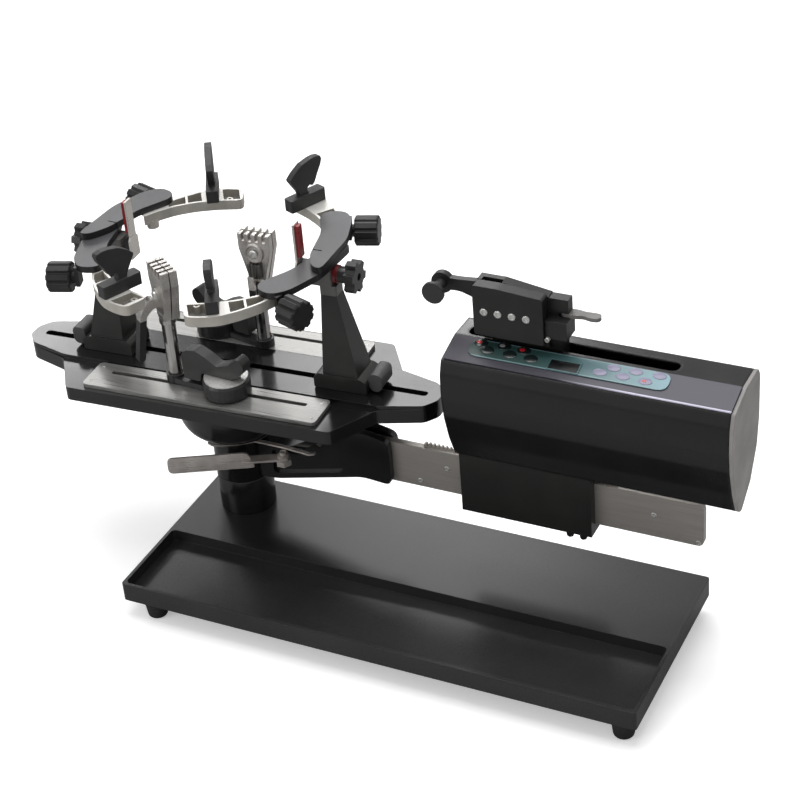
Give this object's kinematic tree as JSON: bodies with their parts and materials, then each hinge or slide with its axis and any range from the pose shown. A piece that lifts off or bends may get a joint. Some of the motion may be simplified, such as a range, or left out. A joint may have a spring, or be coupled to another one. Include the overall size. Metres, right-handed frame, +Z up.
{
  "type": "racket stringing machine",
  "caption": "Table-top racket stringing machine: turntable with towers, side arms and clamps on a column over a tray base, and an electronic tension head with a gripper on a toothed bar.",
  "frame": {"origin": "bottom centre of the bounding box, on the table", "axes": "+X along the base from the turntable to the tension head, +Y from the tool tray to the back, +Z up"},
  "size_m": [0.8701, 0.3302, 0.4514],
  "materials": {
    "black_enamel": "gloss",
    "dark_casting": "satin",
    "grey_arm": "satin",
    "rail_steel": "brushed",
    "silver_casting": "matte",
    "bright_post": "polished",
    "foot_rubber": "matte",
    "knob_plastic": "satin",
    "hook_plastic": "matte",
    "end_plastic": "matte",
    "fascia_plastic": "satin",
    "keypad_film": "satin"
  },
  "bodies": {
    "base": {"base_tray": "black_enamel", "foot_front_left": "foot_rubber", "foot_front_right": "foot_rubber", "foot_rear_left": "foot_rubber", "foot_rear_right": "foot_rubber", "column": "black_enamel", "support_arm": "black_enamel", "rack_bar": "rail_steel", "brake_strip": "rail_steel", "brake_bolt": "rail_steel"},
    "turntable": {"brake_hub": "black_enamel", "turntable_body": "black_enamel", "front_clamp_rail": "rail_steel", "rear_clamp_rail": "rail_steel"},
    "brake": {"brake_lever": "rail_steel"},
    "tower_right_body": {"tower_right": "dark_casting"},
    "tower_lock_right_body": {"tower_lock_right": "knob_plastic"},
    "holder_right_body": {"center_holder_right": "rail_steel"},
    "star_right_body": {"star_knob_right": "knob_plastic"},
    "tower_left_body": {"tower_left": "dark_casting"},
    "tower_lock_left_body": {"tower_lock_left": "knob_plastic"},
    "holder_left_body": {"center_holder_left": "rail_steel"},
    "star_left_body": {"star_knob_left": "knob_plastic"},
    "side_arm_right_rear_body": {"side_arm_right_rear": "grey_arm"},
    "extension_right_rear_body": {"extension_right_rear": "silver_casting"},
    "hook_right_rear_body": {"hook_right_rear": "hook_plastic"},
    "knob_right_rear_body": {"knob_right_rear": "knob_plastic"},
    "side_arm_left_rear_body": {"side_arm_left_rear": "grey_arm"},
    "extension_left_rear_body": {"extension_left_rear": "silver_casting"},
    "hook_left_rear_body": {"hook_left_rear": "hook_plastic"},
    "knob_left_rear_body": {"knob_left_rear": "knob_plastic"},
    "side_arm_right_front_body": {"side_arm_right_front": "grey_arm"},
    "extension_right_front_body": {"extension_right_front": "silver_casting"},
    "hook_right_front_body": {"hook_right_front": "hook_plastic"},
    "knob_right_front_body": {"knob_right_front": "knob_plastic"},
    "side_arm_left_front_body": {"side_arm_left_front": "grey_arm"},
    "extension_left_front_body": {"extension_left_front": "silver_casting"},
    "hook_left_front_body": {"hook_left_front": "hook_plastic"},
    "knob_left_front_body": {"knob_left_front": "knob_plastic"},
    "clamp_base_front_body": {"clamp_base_front": "dark_casting"},
    "clamp_cam_front_body": {"clamp_cam_front": "dark_casting"},
    "clamp_post_front_body": {"clamp_post_front": "bright_post"},
    "clamp_head_front_body": {"clamp_head_front": "silver_casting"},
    "clamp_jaw_front_body": {"clamp_jaw_front": "silver_casting"},
    "clamp_base_rear_body": {"clamp_base_rear": "dark_casting"},
    "clamp_cam_rear_body": {"clamp_cam_rear": "dark_casting"},
    "clamp_post_rear_body": {"clamp_post_rear": "bright_post"},
    "clamp_head_rear_body": {"clamp_head_rear": "silver_casting"},
    "clamp_jaw_rear_body": {"clamp_jaw_rear": "silver_casting"},
    "tension_head": {"trolley": "dark_casting", "housing_shell": "black_enamel", "housing_end": "end_plastic", "panel": "fascia_plastic", "keypad": "keypad_film", "power_inlet": "knob_plastic"},
    "carriage": {"gripper_carriage": "dark_casting"},
    "gripper_jaw_body": {"gripper_jaw": "dark_casting"},
    "gripper_lever_body": {"gripper_lever": "grey_arm"},
    "roller": {"guide_roller": "knob_plastic"},
    "rocker": {"power_switch": "knob_plastic"}
  },
  "joints": [
    {"name": "turntable_spin", "type": "hinge", "parent": "base", "child": "turntable", "pos_m": [-0.17287, 0.02811, 0.2], "axis": [0, 0, 1], "continuous": true},
    {"name": "brake_turn", "type": "hinge", "parent": "base", "child": "brake", "pos_m": [-0.10287, 0.00461, 0.137], "axis": [0, 0, 1], "range_deg": [-4, 12]},
    {"name": "tower_right_slide", "type": "slide", "parent": "turntable", "child": "tower_right_body", "axis": [0.9986, 0.0523, 0], "range_m": [-0.015, 0.03]},
    {"name": "tower_lock_right_turn", "type": "hinge", "parent": "tower_right_body", "child": "tower_lock_right_body", "pos_m": [0.01527, 0.03797, 0.2493], "axis": [-0.0523, 0.9986, 0], "range_deg": [0, 38]},
    {"name": "star_right_turn", "type": "hinge", "parent": "tower_right_body", "child": "star_right_body", "pos_m": [-0.0051, 0.0369, 0.3775], "axis": [0.9986, 0.0523, 0], "range_deg": [-720, 720]},
    {"name": "holder_right_slide", "type": "slide", "parent": "tower_right_body", "child": "holder_right_body", "axis": [-0.9986, -0.0523, 0], "range_m": [-0.003, 0.003]},
    {"name": "tower_left_slide", "type": "slide", "parent": "turntable", "child": "tower_left_body", "axis": [-0.9986, -0.0523, 0], "range_m": [-0.015, 0.03]},
    {"name": "tower_lock_left_turn", "type": "hinge", "parent": "tower_left_body", "child": "tower_lock_left_body", "pos_m": [-0.36101, 0.01825, 0.2493], "axis": [0.0523, -0.9986, 0], "range_deg": [0, 38]},
    {"name": "star_left_turn", "type": "hinge", "parent": "tower_left_body", "child": "star_left_body", "pos_m": [-0.34064, 0.01931, 0.3775], "axis": [-0.9986, -0.0523, 0], "range_deg": [-720, 720]},
    {"name": "holder_left_slide", "type": "slide", "parent": "tower_left_body", "child": "holder_left_body", "axis": [0.9986, 0.0523, 0], "range_m": [-0.003, 0.003]},
    {"name": "side_arm_right_rear_swing", "type": "hinge", "parent": "tower_right_body", "child": "side_arm_right_rear_body", "pos_m": [-0.04055, 0.03504, 0.4001], "axis": [0, 0, 1], "range_deg": [-6, 6]},
    {"name": "extension_right_rear_slide", "type": "slide", "parent": "side_arm_right_rear_body", "child": "extension_right_rear_body", "axis": [-0.809, 0.5878, 0], "range_m": [0, 0.015]},
    {"name": "hook_right_rear_turn", "type": "hinge", "parent": "extension_right_rear_body", "child": "hook_right_rear_body", "pos_m": [-0.1145, 0.13731, 0.3963], "axis": [0, 0, 1], "range_deg": [-20, 20]},
    {"name": "knob_right_rear_turn", "type": "hinge", "parent": "side_arm_right_rear_body", "child": "knob_right_rear_body", "pos_m": [-0.02957, 0.12173, 0.3853], "axis": [0.9511, 0.309, 0], "range_deg": [-360, 360]},
    {"name": "side_arm_left_rear_swing", "type": "hinge", "parent": "tower_left_body", "child": "side_arm_left_rear_body", "pos_m": [-0.30519, 0.02117, 0.4001], "axis": [0, 0, 1], "range_deg": [-6, 6]},
    {"name": "extension_left_rear_slide", "type": "slide", "parent": "side_arm_left_rear_body", "child": "extension_left_rear_body", "axis": [0.8387, 0.5446, 0], "range_m": [0, 0.015]},
    {"name": "hook_left_rear_turn", "type": "hinge", "parent": "extension_left_rear_body", "child": "hook_left_rear_body", "pos_m": [-0.23072, 0.12882, 0.3963], "axis": [0, 0, 1], "range_deg": [-20, 20]},
    {"name": "knob_left_rear_turn", "type": "hinge", "parent": "side_arm_left_rear_body", "child": "knob_left_rear_body", "pos_m": [-0.31435, 0.10808, 0.3853], "axis": [-0.9444, 0.3289, 0], "range_deg": [-360, 360]},
    {"name": "side_arm_right_front_swing", "type": "hinge", "parent": "tower_right_body", "child": "side_arm_right_front_body", "pos_m": [-0.04055, 0.03504, 0.3921], "axis": [0, 0, 1], "range_deg": [-6, 6]},
    {"name": "extension_right_front_slide", "type": "slide", "parent": "side_arm_right_front_body", "child": "extension_right_front_body", "axis": [-0.8192, -0.5736, 0], "range_m": [0, 0.015]},
    {"name": "hook_right_front_turn", "type": "hinge", "parent": "extension_right_front_body", "child": "hook_right_front_body", "pos_m": [-0.11435, -0.07768, 0.3883], "axis": [0, 0, 1], "range_deg": [-20, 20]},
    {"name": "knob_right_front_turn", "type": "hinge", "parent": "side_arm_right_front_body", "child": "knob_right_front_body", "pos_m": [-0.03139, -0.05186, 0.3773], "axis": [0.9444, -0.3289, 0], "range_deg": [-360, 360]},
    {"name": "side_arm_left_front_swing", "type": "hinge", "parent": "tower_left_body", "child": "side_arm_left_front_body", "pos_m": [-0.30519, 0.02117, 0.3921], "axis": [0, 0, 1], "range_deg": [-6, 6]},
    {"name": "extension_left_front_slide", "type": "slide", "parent": "side_arm_left_front_body", "child": "extension_left_front_body", "axis": [0.8829, -0.4695, 0], "range_m": [0, 0.015]},
    {"name": "hook_left_front_turn", "type": "hinge", "parent": "extension_left_front_body", "child": "hook_left_front_body", "pos_m": [-0.22503, -0.08478, 0.3883], "axis": [0, 0, 1], "range_deg": [-20, 20]},
    {"name": "knob_left_front_turn", "type": "hinge", "parent": "side_arm_left_front_body", "child": "knob_left_front_body", "pos_m": [-0.31616, -0.06552, 0.3773], "axis": [-0.9511, -0.309, 0], "range_deg": [-360, 360]},
    {"name": "clamp_front_slide", "type": "slide", "parent": "turntable", "child": "clamp_base_front_body", "axis": [0.9986, 0.0523, 0], "range_m": [-0.03, 0.03]},
    {"name": "clamp_cam_front_turn", "type": "hinge", "parent": "clamp_base_front_body", "child": "clamp_cam_front_body", "pos_m": [-0.14387, -0.02845, 0.263], "axis": [0, 0, 1], "range_deg": [-30, 30]},
    {"name": "clamp_post_front_lift", "type": "slide", "parent": "clamp_base_front_body", "child": "clamp_post_front_body", "axis": [0, 0, 1], "range_m": [0, 0.01]},
    {"name": "clamp_head_front_swivel", "type": "hinge", "parent": "clamp_post_front_body", "child": "clamp_head_front_body", "pos_m": [-0.21374, -0.0231, 0.325], "axis": [0, 0, 1], "range_deg": [-20, 20]},
    {"name": "clamp_jaw_front_open", "type": "hinge", "parent": "clamp_head_front_body", "child": "clamp_jaw_front_body", "pos_m": [-0.21667, -0.02728, 0.3296], "axis": [0.8192, -0.5736, 0], "range_deg": [0, 5]},
    {"name": "clamp_rear_slide", "type": "slide", "parent": "turntable", "child": "clamp_base_rear_body", "axis": [0.9986, 0.0523, 0], "range_m": [-0.03, 0.03]},
    {"name": "clamp_cam_rear_turn", "type": "hinge", "parent": "clamp_base_rear_body", "child": "clamp_cam_rear_body", "pos_m": [-0.22116, 0.08966, 0.263], "axis": [0, 0, 1], "range_deg": [-30, 30]},
    {"name": "clamp_post_rear_lift", "type": "slide", "parent": "clamp_base_rear_body", "child": "clamp_post_rear_body", "axis": [0, 0, 1], "range_m": [0, 0.01]},
    {"name": "clamp_head_rear_swivel", "type": "hinge", "parent": "clamp_post_rear_body", "child": "clamp_head_rear_body", "pos_m": [-0.15231, 0.07525, 0.325], "axis": [0, 0, 1], "range_deg": [-20, 20]},
    {"name": "clamp_jaw_rear_open", "type": "hinge", "parent": "clamp_head_rear_body", "child": "clamp_jaw_rear_body", "pos_m": [-0.15204, 0.07015, 0.3296], "axis": [0.9986, 0.0523, 0], "range_deg": [0, 5]},
    {"name": "head_slide", "type": "slide", "parent": "base", "child": "tension_head", "axis": [1, 0, 0], "range_m": [-0.008, 0.105]},
    {"name": "carriage_slide", "type": "slide", "parent": "tension_head", "child": "carriage", "axis": [1, 0, 0], "range_m": [-0.005, 0.1]},
    {"name": "roller_spin", "type": "hinge", "parent": "carriage", "child": "roller", "pos_m": [0.10013, 0.02811, 0.3891], "axis": [0, 1, 0], "continuous": true},
    {"name": "gripper_lever_swing", "type": "hinge", "parent": "carriage", "child": "gripper_lever_body", "pos_m": [0.24213, 0.03611, 0.3792], "axis": [0, 0, 1], "range_deg": [0, 12], "stiffness_Nm_per_rad": 0.4},
    {"name": "gripper_jaw_open", "type": "slide", "parent": "carriage", "child": "gripper_jaw_body", "axis": [0, -1, 0], "range_m": [0, 0.0029]},
    {"name": "power_rocker", "type": "hinge", "parent": "tension_head", "child": "rocker", "pos_m": [0.37513, 0.05532, 0.2231], "axis": [1, 0, 0], "range_deg": [-6, 6]}
  ],
  "couplings": [
    {"joint": "star_right_turn", "follows": "holder_right_slide", "rad_per_m": 4188},
    {"joint": "star_left_turn", "follows": "holder_left_slide", "rad_per_m": 4188},
    {"joint": "gripper_lever_swing", "follows": "gripper_jaw_open", "rad_per_m": 71.4}
  ]
}
